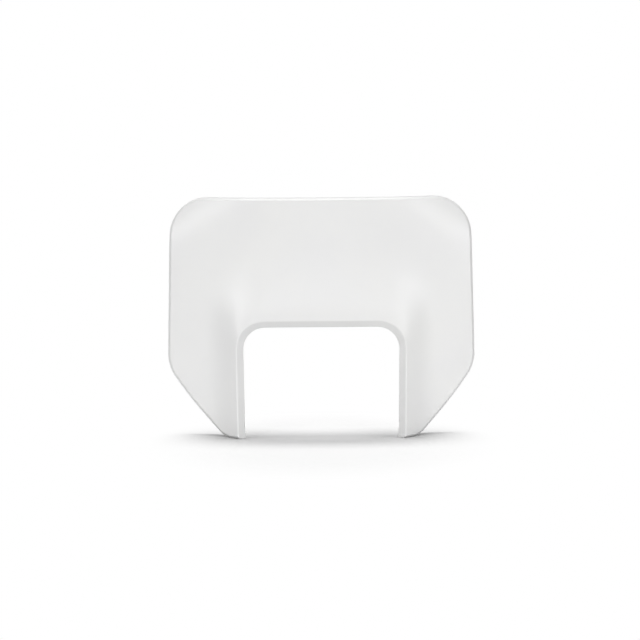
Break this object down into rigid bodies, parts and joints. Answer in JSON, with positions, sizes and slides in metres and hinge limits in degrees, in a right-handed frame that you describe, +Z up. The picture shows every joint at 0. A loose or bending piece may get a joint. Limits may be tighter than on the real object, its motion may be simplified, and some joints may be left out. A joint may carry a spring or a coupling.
{
  "type": "headlight number plate",
  "caption": "White moulded plastic front number plate with a hooded, bevel-lipped cut-out for a headlight, open at the bottom, with rear screw bosses and strap hooks.",
  "frame": {"origin": "centre of the four lamp screw bosses, on the plane of their seating faces", "axes": "+X to the right of the plate as seen from the front, +Y from the face to the rear, +Z up"},
  "size_m": [0.2794, 0.0405, 0.2165],
  "materials": {
    "white_moulding": "satin, injection-moulded polypropylene"
  },
  "bodies": {
    "root": {"number_plate": "white_moulding"}
  },
  "joints": []
}
